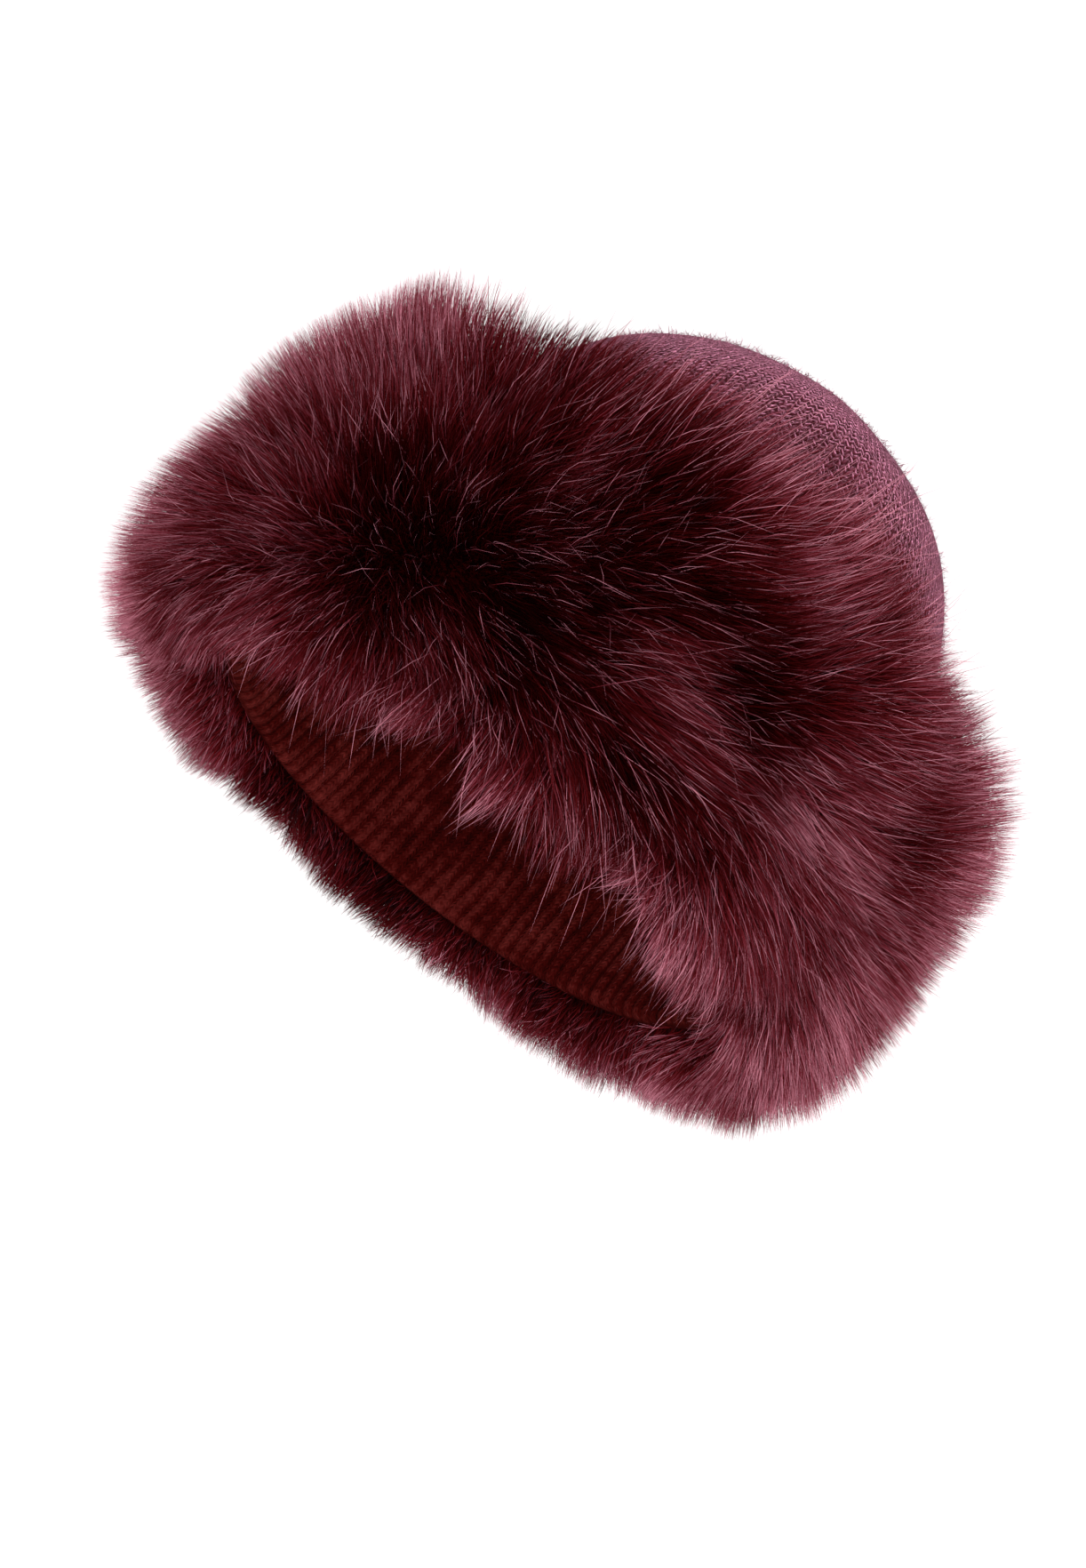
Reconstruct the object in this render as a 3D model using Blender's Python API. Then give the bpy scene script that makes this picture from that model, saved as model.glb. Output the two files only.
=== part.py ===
"""A knitted winter hat with a deep fur cuff, lying on its side.

Every piece is drawn in the hat's own frame: the opening is at height 0, the crown is up, the width runs along X
and the depth along Y. One empty then lays the hat down on its side, with its opening towards -Y.
"""

import math
import random

import bmesh
import bpy
from mathutils import Vector

# Knitted crown, in metres. Half sizes are to the outside of the knit. A fullness of 1 gives a round dome, and a
# lower one a squarer shoulder.
OPENING_HALF_WIDTH = 0.0985
OPENING_HALF_DEPTH = 0.0868
CROWN_HALF_WIDTH = 0.0895
CROWN_HALF_DEPTH = 0.0850
CROWN_SIDE_HEIGHT = 0.0870
DOME_RISE = 0.0935
DOME_FULLNESS = 0.94
CROWN_LEAN = 0.0055
KNIT_WALL = 0.0030

# Ribbed band sewn inside the opening
BAND_INSET = 0.0020
BAND_HEIGHT = 0.0700
BAND_WALL = 0.0018
RIB_RELIEF = 0.0012
RIB_COUNT = 120

# Fur cuff round the outside
CUFF_HEIGHT = 0.0900
CUFF_EDGE = 0.0010
BACKING_WALL = 0.0020
PILE_LENGTH = 0.0470
DENSE_PILE_SHARE = 0.72
LOCK_ROWS = 8
LOCKS_AROUND = 60
LOCK_WAIST = 0.78
LOCK_SWEEP = 0.0040
LOCK_VARIATION = 0.10

# Below this share of its height the cuff's fur is a fringe, longer on the upper side and shorter underneath
FRINGE_SHARE = 0.30
FRINGE_DROOP = 0.18

# Above this share the fur lies along the crown, longer than the table says by this much, and most of all on the left
BRUSHED_SHARE = 0.84
BRUSHED_GAIN = 0.10

# One row for each place up the cuff where the direction or length of the fur changes.
# height: share of CUFF_HEIGHT. rise: angle of the fur above level, in degrees. length: share of PILE_LENGTH.
FUR_SECTIONS = (
    # height, rise, length
    (0.00, -74.0, 0.48),
    (0.06, -52.0, 0.67),
    (0.16, -30.0, 0.95),
    (0.32, -12.0, 1.02),
    (0.50, -2.0, 1.00),
    (0.68, 7.0, 1.00),
    (0.84, 24.0, 0.95),
    (0.95, 47.0, 0.83),
    (1.00, 72.0, 0.78),
)

# How it lies: the crown end tips down by this much, the middle of the opening is this far above the surface, and
# this height up the hat is over the middle of the patch that it lies on.
REST_TILT = math.radians(9.0)
REST_HEIGHT = 0.1250
REST_CENTRE = 0.0380
FLOOR_REACH = 0.4

FIT_GAP = 0.0003
AROUND = 60
SIDE_STEPS = 4
DOME_STEPS = 7
BACKING_STEPS = 4
CUFF_SEED = 5

BURGUNDY_KNIT = (0.23, 0.075, 0.105, 1.0)
BURGUNDY_RIBS = (0.085, 0.012, 0.012, 1.0)
BURGUNDY_FUR = (0.12, 0.026, 0.036, 1.0)


def clear_scene():
    for obj in list(bpy.data.objects):
        bpy.data.objects.remove(obj)


def plain_material(name, colour, roughness):
    material = bpy.data.materials.new(name)
    material.use_nodes = True
    shader = material.node_tree.nodes["Principled BSDF"]
    shader.inputs["Base Color"].default_value = colour
    shader.inputs["Roughness"].default_value = roughness
    shader.inputs["Metallic"].default_value = 0.0
    return material


def between(low, high, share):
    return low + (high - low) * share


def lean_at(height):
    """How far the crown has moved sideways at this height: it sits a little off the middle of the opening."""
    return CROWN_LEAN * height / CROWN_SIDE_HEIGHT


def crown_half_sizes(height):
    """Half width and half depth of the knit's outside, up its straight side."""
    share = height / CROWN_SIDE_HEIGHT
    width = between(OPENING_HALF_WIDTH, CROWN_HALF_WIDTH, share)
    depth = between(OPENING_HALF_DEPTH, CROWN_HALF_DEPTH, share)
    return width, depth


def oval_point(width, depth, height, turn, lean):
    """A point on an oval ring. turn is the share of a full turn."""
    angle = 2.0 * math.pi * turn
    return Vector((lean + width * math.cos(angle), depth * math.sin(angle), height))


def side_ring(height, offset, count=AROUND, shift=0.0):
    """A ring that follows the knit's outside at this height, offset outwards, or inwards if it is negative."""
    width, depth = crown_half_sizes(height)
    lean = lean_at(height)
    return [oval_point(width + offset, depth + offset, height, (i + shift) / count, lean) for i in range(count)]


def dome_ring(angle, offset):
    """A ring of the dome. angle runs from 0 at its foot to a quarter turn at its top."""
    inwards = math.cos(angle) ** DOME_FULLNESS
    width = (CROWN_HALF_WIDTH + offset) * inwards
    depth = (CROWN_HALF_DEPTH + offset) * inwards
    height = CROWN_SIDE_HEIGHT + (DOME_RISE + offset) * math.sin(angle) ** DOME_FULLNESS
    return [oval_point(width, depth, height, i / AROUND, CROWN_LEAN) for i in range(AROUND)]


def dome_top(offset):
    return Vector((CROWN_LEAN, 0.0, CROWN_SIDE_HEIGHT + DOME_RISE + offset))


def add_ring(mesh, points):
    return [mesh.verts.new(point) for point in points]


def bridge(mesh, lower, upper):
    """Quads between two rings with as many points each."""
    count = len(lower)
    pairs = [(i, (i + 1) % count) for i in range(count)]
    return [mesh.faces.new((lower[i], lower[j], upper[j], upper[i])) for i, j in pairs]


def close_top(mesh, ring, point):
    top = mesh.verts.new(point)
    for i in range(len(ring)):
        mesh.faces.new((ring[i], ring[(i + 1) % len(ring)], top))


def finish_object(name, mesh, material, frame):
    bmesh.ops.recalc_face_normals(mesh, faces=mesh.faces)
    data = bpy.data.meshes.new(name)
    mesh.to_mesh(data)
    mesh.free()
    data.materials.append(material)
    data.shade_smooth()
    obj = bpy.data.objects.new(name, data)
    obj.parent = frame
    bpy.context.scene.collection.objects.link(obj)
    return obj


def knit_skin(mesh, offset):
    """One side of the knitted wall, from its lower edge to the top of the dome. Returns its lowest ring."""
    heights = [CROWN_SIDE_HEIGHT * i / SIDE_STEPS for i in range(SIDE_STEPS + 1)]
    rings = [add_ring(mesh, side_ring(height, offset)) for height in heights]
    angles = [0.5 * math.pi * i / DOME_STEPS for i in range(1, DOME_STEPS)]
    rings += [add_ring(mesh, dome_ring(angle, offset)) for angle in angles]
    for lower, upper in zip(rings, rings[1:]):
        bridge(mesh, lower, upper)
    close_top(mesh, rings[-1], dome_top(offset))
    return rings[0]


def make_knit_crown(frame, material):
    mesh = bmesh.new()
    outside = knit_skin(mesh, 0.0)
    inside = knit_skin(mesh, -KNIT_WALL)
    bridge(mesh, inside, outside)
    return finish_object("knit_crown", mesh, material, frame)


def ribbed_ring(height, outer_offset):
    """A ring whose points are in turn on the crest of a rib and in the groove beside it."""
    points = []
    for i in range(2 * RIB_COUNT):
        on_crest = i % 2 == 0
        offset = outer_offset - BAND_WALL - (RIB_RELIEF if on_crest else 0.0)
        width, depth = crown_half_sizes(height)
        turn = i / (2 * RIB_COUNT)
        points.append(oval_point(width + offset, depth + offset, height, turn, lean_at(height)))
    return points


def make_ribbed_band(frame, material):
    mesh = bmesh.new()
    outer_offset = -KNIT_WALL - FIT_GAP
    low, high = BAND_INSET, BAND_INSET + BAND_HEIGHT
    count = 2 * RIB_COUNT
    loops = [
        add_ring(mesh, side_ring(low, outer_offset, count)),
        add_ring(mesh, side_ring(between(low, high, 0.5), outer_offset, count)),
        add_ring(mesh, side_ring(high, outer_offset, count)),
        add_ring(mesh, ribbed_ring(high, outer_offset)),
        add_ring(mesh, ribbed_ring(low, outer_offset)),
    ]
    for first, second in zip(loops, loops[1:] + loops[:1]):
        bridge(mesh, first, second)
    return finish_object("ribbed_band", mesh, material, frame)


def fur_at(share, turn):
    """Rise angle in radians and length of the fur that is rooted at this share of the cuff's height."""
    for (low, low_rise, low_length), (high, high_rise, high_length) in zip(FUR_SECTIONS, FUR_SECTIONS[1:]):
        if share <= high:
            break
    part = (share - low) / (high - low)
    rise = math.radians(between(low_rise, high_rise, part))
    angle = 2.0 * math.pi * turn
    droop = FRINGE_DROOP * max(0.0, 1.0 - share / FRINGE_SHARE) * math.sin(angle)
    brushed = max(0.0, share - BRUSHED_SHARE) / (1.0 - BRUSHED_SHARE)
    gain = BRUSHED_GAIN * brushed * (1.0 - math.cos(angle))
    return rise, PILE_LENGTH * between(low_length, high_length, part) * (1.0 - droop) * (1.0 + gain)


def fur_direction(share, turn):
    """Unit direction of the fur at this place, square to the oval of the opening when seen from above."""
    rise, _ = fur_at(share, turn)
    angle = 2.0 * math.pi * turn
    outwards = Vector((math.cos(angle) * OPENING_HALF_DEPTH, math.sin(angle) * OPENING_HALF_WIDTH, 0.0))
    outwards.normalize()
    return outwards * math.cos(rise) + Vector((0.0, 0.0, math.sin(rise)))


def fur_root(share, turn):
    """The place on the outside of the cuff's backing."""
    height = between(CUFF_EDGE, CUFF_HEIGHT, share)
    width, depth = crown_half_sizes(height)
    offset = FIT_GAP + BACKING_WALL
    return oval_point(width + offset, depth + offset, height, turn, lean_at(height))


def fur_point(share, turn, reach):
    """A point out along the fur: reach 0 is the backing and reach 1 the tips, which don't lean with the crown."""
    _, length = fur_at(share, turn)
    lean = Vector((lean_at(CUFF_HEIGHT * share), 0.0, 0.0))
    return fur_root(share, turn) + fur_direction(share, turn) * (length * reach) - lean * reach


def row_shares():
    """Heights of the edges between rows of locks. They crowd towards the two edges, where the fur fans out."""
    return [0.5 - 0.5 * math.cos(math.pi * i / LOCK_ROWS) for i in range(LOCK_ROWS + 1)]


def grow_lock(mesh, face, share, turn, draw):
    """Draws one cell of the dense pile out into a pointed lock, bent a little to one side."""
    _, length = fur_at(share, turn)
    direction = fur_direction(share, turn)
    sideways = direction.cross(Vector((0.0, 0.0, 1.0))).normalized()
    rest = length * (1.0 - DENSE_PILE_SHARE) * (1.0 + LOCK_VARIATION * draw.uniform(-1.0, 1.0))
    corners = list(face.verts)
    centre = sum((corner.co for corner in corners), Vector()) / len(corners)
    waist = [
        mesh.verts.new(centre + (corner.co - centre) * LOCK_WAIST + direction * (rest * 0.45)) for corner in corners
    ]
    tip = mesh.verts.new(centre + direction * rest + sideways * (LOCK_SWEEP * draw.uniform(-1.0, 1.0)))
    mesh.faces.remove(face)
    for i in range(len(corners)):
        j = (i + 1) % len(corners)
        mesh.faces.new((corners[i], corners[j], waist[j], waist[i]))
        mesh.faces.new((waist[i], waist[j], tip))


def make_fur_cuff(frame, material, floor_cutter):
    """The backing and the dense pile are one closed ring, and each cell of its outside is drawn out into a lock."""
    draw = random.Random(CUFF_SEED)
    mesh = bmesh.new()
    shares = row_shares()
    outer = []
    for row, share in enumerate(shares):
        shift = 0.5 * (row % 2)
        turns = [(i + shift) / LOCKS_AROUND for i in range(LOCKS_AROUND)]
        outer.append(add_ring(mesh, [fur_point(share, turn, DENSE_PILE_SHARE) for turn in turns]))
    heights = [between(CUFF_HEIGHT, CUFF_EDGE, i / BACKING_STEPS) for i in range(BACKING_STEPS + 1)]
    inner = [add_ring(mesh, side_ring(height, FIT_GAP, LOCKS_AROUND)) for height in heights]

    cells = []
    for row in range(LOCK_ROWS):
        share = 0.5 * (shares[row] + shares[row + 1])
        for i, face in enumerate(bridge(mesh, outer[row], outer[row + 1])):
            cells.append((face, share, (i + 0.75) / LOCKS_AROUND))
    for first, second in zip([outer[-1]] + inner, inner + [outer[0]]):
        bridge(mesh, first, second)
    for face, share, turn in cells:
        grow_lock(mesh, face, share, turn, draw)

    cuff = finish_object("fur_cuff", mesh, material, frame)
    press = cuff.modifiers.new("pressed_flat_by_its_weight", "BOOLEAN")
    press.operation = "DIFFERENCE"
    press.solver = "EXACT"
    press.object = floor_cutter
    return cuff


def make_floor_cutter():
    """A block under the surface that the hat lies on. What would sink into it is pressed flat."""
    mesh = bmesh.new()
    bmesh.ops.create_cube(mesh, size=FLOOR_REACH * 2.0)
    data = bpy.data.meshes.new("floor_cutter")
    mesh.to_mesh(data)
    mesh.free()
    cutter = bpy.data.objects.new("floor_cutter", data)
    cutter.location = (0.0, 0.0, -FLOOR_REACH)
    cutter.hide_render = True
    cutter.display_type = "WIRE"
    bpy.context.scene.collection.objects.link(cutter)
    return cutter


def make_hat_frame():
    """The empty that lays the hat on its side: its axis runs along +Y, with the crown end tipped down."""
    frame = bpy.data.objects.new("hat_frame", None)
    frame.rotation_euler = (-(0.5 * math.pi + REST_TILT), 0.0, 0.0)
    frame.location = (0.0, -REST_CENTRE, REST_HEIGHT)
    bpy.context.scene.collection.objects.link(frame)
    return frame


def build_hat():
    clear_scene()
    frame = make_hat_frame()
    floor_cutter = make_floor_cutter()
    make_knit_crown(frame, plain_material("knit", BURGUNDY_KNIT, 0.9))
    make_ribbed_band(frame, plain_material("ribs", BURGUNDY_RIBS, 0.9))
    make_fur_cuff(frame, plain_material("fur", BURGUNDY_FUR, 0.6), floor_cutter)
    bpy.context.view_layer.update()


build_hat()
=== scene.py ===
# %% [markdown]
# # A knitted winter hat with a deep fur cuff
#
# The hat lies on its side. Its crown is a fine burgundy knit with a brushed surface, a ribbed band
# lines the opening, and a wide cuff of long artificial fur stands out all round. Each of these is made
# here as its own piece over the plain solids of the frame, with its own finish. Lengths are in metres.

# %% Load the frame
import math

import bpy
import numpy as np
from mathutils import Matrix, Vector


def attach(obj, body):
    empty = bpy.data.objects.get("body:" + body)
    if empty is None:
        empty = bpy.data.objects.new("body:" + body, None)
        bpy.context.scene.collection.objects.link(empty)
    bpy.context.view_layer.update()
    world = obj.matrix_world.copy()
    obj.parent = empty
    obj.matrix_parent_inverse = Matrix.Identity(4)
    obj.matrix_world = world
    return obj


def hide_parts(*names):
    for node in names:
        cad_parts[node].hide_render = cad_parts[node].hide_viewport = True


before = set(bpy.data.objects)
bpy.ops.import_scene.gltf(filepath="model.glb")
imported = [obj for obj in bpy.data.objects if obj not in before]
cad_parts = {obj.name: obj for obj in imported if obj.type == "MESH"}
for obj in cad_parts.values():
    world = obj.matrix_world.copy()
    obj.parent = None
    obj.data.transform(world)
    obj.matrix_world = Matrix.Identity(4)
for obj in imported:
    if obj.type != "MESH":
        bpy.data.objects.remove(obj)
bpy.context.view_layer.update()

# %% [markdown]
# ## The hat's own frame
#
# It is much easier to draw a hat standing up, with its opening at height 0 and its crown above, and to
# lay the finished points down on their side in one step. The fur below needs about a million points, so
# the points are kept in arrays and turned all together.

# %% How the hat lies
REST_TILT = math.radians(9.0)
REST_HEIGHT = 0.1250
REST_CENTRE = 0.0380

LYING_DOWN = np.array(
    [
        [1.0, 0.0, 0.0],
        [0.0, -math.sin(REST_TILT), math.cos(REST_TILT)],
        [0.0, -math.cos(REST_TILT), -math.sin(REST_TILT)],
    ]
)


def lay_down(points):
    """Turns points of the standing hat to where they are on the lying one."""
    return points @ LYING_DOWN.T + np.array([0.0, -REST_CENTRE, REST_HEIGHT])


def turn_down(directions):
    return directions @ LYING_DOWN.T


def unit(vectors):
    return vectors / np.maximum(np.linalg.norm(vectors, axis=-1, keepdims=True), 1e-9)


# %% [markdown]
# ## The sizes of the cloth
#
# These follow the solids. The side of the crown is a slightly tapered oval tube, and its top is a dome.

# %% Sizes of the crown and of the band
OPENING_HALF_WIDTH = 0.0985
OPENING_HALF_DEPTH = 0.0868
CROWN_HALF_WIDTH = 0.0895
CROWN_HALF_DEPTH = 0.0850
CROWN_SIDE_HEIGHT = 0.0870
DOME_RISE = 0.0935
DOME_FULLNESS = 0.94
CROWN_LEAN = 0.0055
KNIT_WALL = 0.0030
FIT_GAP = 0.0003


def oval_ring(width, depth, height, turn, lean):
    """Points of ovals. Each of the values may be an array, and turn is the share of a full turn."""
    angle = 2.0 * np.pi * turn
    x = lean + width * np.cos(angle)
    y = depth * np.sin(angle)
    return np.stack(np.broadcast_arrays(x, y, height), axis=-1)


def knit_surface(turn, climb, offset):
    """A point of the knit. climb is 0 at the opening, 1 at the foot of the dome and 2 at its top."""
    side = np.clip(climb, 0.0, 1.0)
    width = OPENING_HALF_WIDTH + (CROWN_HALF_WIDTH - OPENING_HALF_WIDTH) * side + offset
    depth = OPENING_HALF_DEPTH + (CROWN_HALF_DEPTH - OPENING_HALF_DEPTH) * side + offset
    bend = 0.5 * np.pi * np.clip(climb - 1.0, 0.0, 1.0)
    inwards = np.maximum(np.cos(bend), 0.0) ** DOME_FULLNESS
    rise = (DOME_RISE + offset) * np.sin(bend) ** DOME_FULLNESS
    height = CROWN_SIDE_HEIGHT * np.minimum(climb, 1.0) + rise
    return oval_ring(width * inwards, depth * inwards, height, turn, CROWN_LEAN * side)


# %% [markdown]
# ## Meshes from arrays
#
# A mesh with a hundred thousand points is made quickly if its points, faces and extra values are handed
# over as whole arrays. The faces are given as groups that have the same number of corners.

# %% Build a mesh from arrays
def mesh_from_arrays(name, points, groups, uv_name=None, uv_of_corner=None, values=()):
    """groups are arrays of corner numbers, one row for each face. values are (name, array) pairs."""
    corners = np.concatenate([group.reshape(-1) for group in groups]).astype(np.int32)
    sizes = np.concatenate([np.full(len(group), group.shape[1]) for group in groups])
    starts = np.concatenate([[0], np.cumsum(sizes)[:-1]]).astype(np.int32)
    mesh = bpy.data.meshes.new(name)
    mesh.vertices.add(len(points))
    mesh.vertices.foreach_set("co", points.astype(np.float32).reshape(-1))
    mesh.loops.add(len(corners))
    mesh.loops.foreach_set("vertex_index", corners)
    mesh.polygons.add(len(sizes))
    mesh.polygons.foreach_set("loop_start", starts)
    mesh.update(calc_edges=True)
    if uv_name:
        layer = mesh.uv_layers.new(name=uv_name)
        layer.uv.foreach_set("vector", uv_of_corner.astype(np.float32).reshape(-1))
    for value_name, array in values:
        attribute = mesh.attributes.new(value_name, "FLOAT", "POINT")
        attribute.data.foreach_set("value", array.astype(np.float32))
    mesh.shade_smooth()
    mesh.validate()
    piece = bpy.data.objects.new(name, mesh)
    bpy.context.scene.collection.objects.link(piece)
    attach(piece, "root")
    return piece


def grid_faces(rows, columns):
    """Quads of a grid of rows x columns points that closes on itself round the hat."""
    row, column = np.meshgrid(np.arange(rows - 1), np.arange(columns), indexing="ij")
    after = (column + 1) % columns
    below, above = row * columns, (row + 1) * columns
    quads = np.stack([below + column, below + after, above + after, above + column], axis=-1)
    return quads.reshape(-1, 4)


def closing_faces(rows, columns):
    """Quads that join the last row of such a grid to its first."""
    last = (rows - 1) * columns
    column = np.arange(columns)
    after = np.roll(column, -1)
    return np.stack([last + column, last + after, after, column], axis=-1)


def cloth_uv(columns, up):
    """The share of a turn and the length up the cloth at each corner of the grid's quads."""
    row, column = np.meshgrid(np.arange(len(up) - 1), np.arange(columns), indexing="ij")
    left, right = column / columns, (column + 1) / columns
    low, high = up[row], up[row + 1]
    return np.stack([left, low, right, low, right, high, left, high], axis=-1).reshape(-1, 2)


def report(piece):
    size = [round(1000.0 * side) for side in piece.dimensions]
    print(piece.name, len(piece.data.polygons), "faces", size, "mm")


# %% [markdown]
# ## A small language for shaders
#
# A finish is a chain of nodes, and a chain of sums is much easier to read as an expression. The class
# Value wraps an output of a node, and each operator on it adds the Math node that does the sum.
# Everything else goes through Finish.node, which takes a node's type, its settings and what goes into
# its sockets.

# %% Values and finishes
class Value:
    def __init__(self, finish, socket):
        self.finish = finish
        self.socket = socket

    def sum_of(self, operation, *terms):
        return self.finish.node("ShaderNodeMath", {"operation": operation}, dict(enumerate(terms)))

    def __add__(self, other):
        return self.sum_of("ADD", self, other)

    def __sub__(self, other):
        return self.sum_of("SUBTRACT", self, other)

    def __mul__(self, other):
        return self.sum_of("MULTIPLY", self, other)

    def __truediv__(self, other):
        return self.sum_of("DIVIDE", self, other)

    __radd__ = __add__
    __rmul__ = __mul__

    def fraction(self):
        return self.sum_of("FRACT", self)

    def size(self):
        return self.sum_of("ABSOLUTE", self)

    def sine(self):
        return self.sum_of("SINE", self)

    def held(self, low=0.0, high=1.0):
        return self.sum_of("MAXIMUM", self.sum_of("MINIMUM", self, high), low)


class Finish:
    def __init__(self, name, roughness, **constants):
        self.material = bpy.data.materials.new(name)
        self.material.use_nodes = True
        self.tree = self.material.node_tree
        self.shader = self.tree.nodes["Principled BSDF"]
        self.shader.inputs["Roughness"].default_value = roughness
        for socket_name, value in constants.items():
            self.shader.inputs[socket_name.replace("_", " ")].default_value = value

    def plug(self, socket, value):
        if isinstance(value, Value):
            self.tree.links.new(value.socket, socket)
        else:
            socket.default_value = value

    def node(self, kind, settings=None, sockets=None, output=0, stops=None):
        node = self.tree.nodes.new(kind)
        for name, value in (settings or {}).items():
            setattr(node, name, value)
        if stops:
            ramp = node.color_ramp
            while len(ramp.elements) < len(stops):
                ramp.elements.new(0.5)
            for element, (place, colour) in zip(ramp.elements, stops):
                element.position = place
                element.color = (*colour, 1.0)
        for key, value in (sockets or {}).items():
            self.plug(node.inputs[key], value)
        return Value(self, node.outputs[output])

    def stored(self, name):
        """A value kept on the mesh's points."""
        return self.node("ShaderNodeAttribute", {"attribute_name": name}, output="Fac")

    def place(self):
        return self.node("ShaderNodeTexCoord", output="Object")

    def noise(self, scale, detail=2.0):
        """Soft noise from about 0 to 1. scale is in waves for each metre."""
        sockets = {"Vector": self.place(), "Scale": scale, "Detail": detail}
        return self.node("ShaderNodeTexNoise", None, sockets)

    def ramp(self, value, stops):
        return self.node("ShaderNodeValToRGB", None, {"Fac": value}, stops=stops)

    def colour(self, value):
        self.plug(self.shader.inputs["Base Color"], value)

    def relief(self, height, depth):
        sockets = {"Height": height, "Distance": depth, "Strength": 1.0}
        self.plug(self.shader.inputs["Normal"], self.node("ShaderNodeBump", None, sockets))


# %% [markdown]
# ## The knitted crown
#
# The crown is a plain knit in upright columns of stitches. Each stitch is a small V of two legs.
# Modelling eleven thousand of them would cost more faces than the fur, and brushing has blurred them
# anyway, so they are made as relief in the finish instead. The surface needs coordinates for that: the
# share of a turn, and the length up along the cloth.

# %% Shape of the crown
CROWN_AROUND = 240
SIDE_ROWS = 30
DOME_ROWS = 44
DOME_LAST_ROW = 0.995
DOME_CLOTH = 0.1435
HEM_HEIGHT = 0.0030
CLOTH_SOFTNESS = 0.0004
KNIT_COLUMNS = 150
STITCH_HEIGHT = 0.0031

side_climbs = np.linspace(HEM_HEIGHT / CROWN_SIDE_HEIGHT, 1.0, SIDE_ROWS, endpoint=False)
dome_climbs = 1.0 + np.linspace(0.0, DOME_LAST_ROW, DOME_ROWS)
climbs = np.concatenate([side_climbs, dome_climbs])
up_the_side = side_climbs * CROWN_SIDE_HEIGHT
up_the_dome = CROWN_SIDE_HEIGHT + (dome_climbs - 1.0) * DOME_CLOTH
cloth_up = np.concatenate([up_the_side, up_the_dome])


def soft_waves(seed, count, around, up, turn, share):
    """Smooth random waves over a ring, from about -1 to 1. They meet themselves after a full turn."""
    draw = np.random.default_rng(seed)
    total = np.zeros(np.broadcast(turn, share).shape)
    for _ in range(count):
        waves = draw.integers(-around, around + 1)
        rise = draw.uniform(-up, up)
        total += np.sin(2.0 * np.pi * (waves * turn + rise * share + draw.random()))
    return total / math.sqrt(0.5 * count) * 0.7


def crown_skin(offset):
    turn, climb = np.meshgrid(np.arange(CROWN_AROUND) / CROWN_AROUND, climbs)
    softness = CLOTH_SOFTNESS * soft_waves(3, 12, 5, 3.0, turn, climb)
    return knit_surface(turn, climb, offset + softness).reshape(-1, 3)


outer = crown_skin(0.0)
inner = crown_skin(-KNIT_WALL)
top_outer = knit_surface(0.0, 2.0, 0.0).reshape(1, 3)
top_inner = knit_surface(0.0, 2.0, -KNIT_WALL).reshape(1, 3)
crown_points = np.concatenate([lay_down(part) for part in (outer, inner, top_outer, top_inner)])

rows = len(climbs)
column = np.arange(CROWN_AROUND)
after = np.roll(column, -1)
last = (rows - 1) * CROWN_AROUND
outside = grid_faces(rows, CROWN_AROUND)
inside = outside[:, ::-1] + len(outer)
hem = np.stack([after, column, column + len(outer), after + len(outer)], axis=-1)
outer_top = np.full(CROWN_AROUND, 2 * len(outer))
cap_out = np.stack([last + column, last + after, outer_top], axis=-1)
cap_in = np.stack([last + after + len(outer), last + column + len(outer), outer_top + 1], axis=-1)

outside_uv = cloth_uv(CROWN_AROUND, cloth_up)
inside_uv = outside_uv.reshape(-1, 4, 2)[:, ::-1].reshape(-1, 2)
hem_uv = np.zeros((hem.size, 2))
caps_uv = np.full((cap_out.size + cap_in.size, 2), cloth_up[-1])
crown = mesh_from_arrays(
    "crown_cloth",
    crown_points,
    [np.concatenate([outside, inside, hem]), np.concatenate([cap_out, cap_in])],
    "stitches",
    np.concatenate([outside_uv, inside_uv, hem_uv, caps_uv]),
)
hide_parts("knit_crown")
report(crown)

# %% [markdown]
# ## The knit's finish
#
# Across one column the height goes up over each leg of the V and down between them, which is a sine of
# the distance from the middle of the column. Along the column the stitches follow each other, later
# towards the middle, which makes the legs slope. A soft noise moves the coordinates a little, since
# wool never lies perfectly even. A fine noise then hazes the stitches, as brushing does, and a broad
# one makes the surface patchy.

# %% Finish of the knit
LEG_SLOPE = 1.5


def stitches(finish, columns, stitch_height, unevenness):
    """Height of a plain knit, from 0 between the yarns to 1 on top of them."""
    uv = finish.node("ShaderNodeUVMap", {"uv_map": "stitches"})
    across = finish.node("ShaderNodeSeparateXYZ", None, {0: uv}, output=0)
    up = finish.node("ShaderNodeSeparateXYZ", None, {0: uv}, output=1)
    wander = (finish.noise(190.0) - 0.5) * unevenness
    column = (across * columns + wander).fraction() - 0.5
    from_middle = column.size()
    leg = (from_middle * (2.0 * math.pi)).sine()
    delay = (finish.noise(230.0) - 0.5) * unevenness
    along = (up / stitch_height + from_middle * LEG_SLOPE + delay) * (2.0 * math.pi)
    loop = along.sine() * 0.5 + 0.5
    return leg * 0.3 + loop * (0.35 + 0.35 * leg)


knit = Finish(
    "brushed_knit",
    roughness=0.9,
    Specular_IOR_Level=0.08,
    Sheen_Weight=1.0,
    Sheen_Roughness=0.25,
    Sheen_Tint=(1.0, 0.38, 0.58, 1.0),
)
stitch_relief = stitches(knit, KNIT_COLUMNS, STITCH_HEIGHT, unevenness=1.1)
haze = knit.noise(210.0, 5.0)
patches = knit.noise(38.0, 2.0)
# The colour follows the stitch height as well as the relief does, so it is darker between the yarns: that
# is painted shade. The haze and the patches are the wool's own uneven colour.
tone = (stitch_relief * 0.50 + (haze - 0.5) * 1.2 + (patches - 0.5) * 0.7 - 0.03).held()
knit.colour(
    knit.ramp(
        tone,
        [
            (0.08, (0.040, 0.0030, 0.0055)),
            (0.32, (0.090, 0.012, 0.021)),
            (0.58, (0.195, 0.042, 0.073)),
            (0.92, (0.44, 0.160, 0.24)),
        ],
    )
)
knit.relief(stitch_relief * 0.6 + haze * 0.4, 0.0010)
crown.data.materials.append(knit.material)

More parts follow.
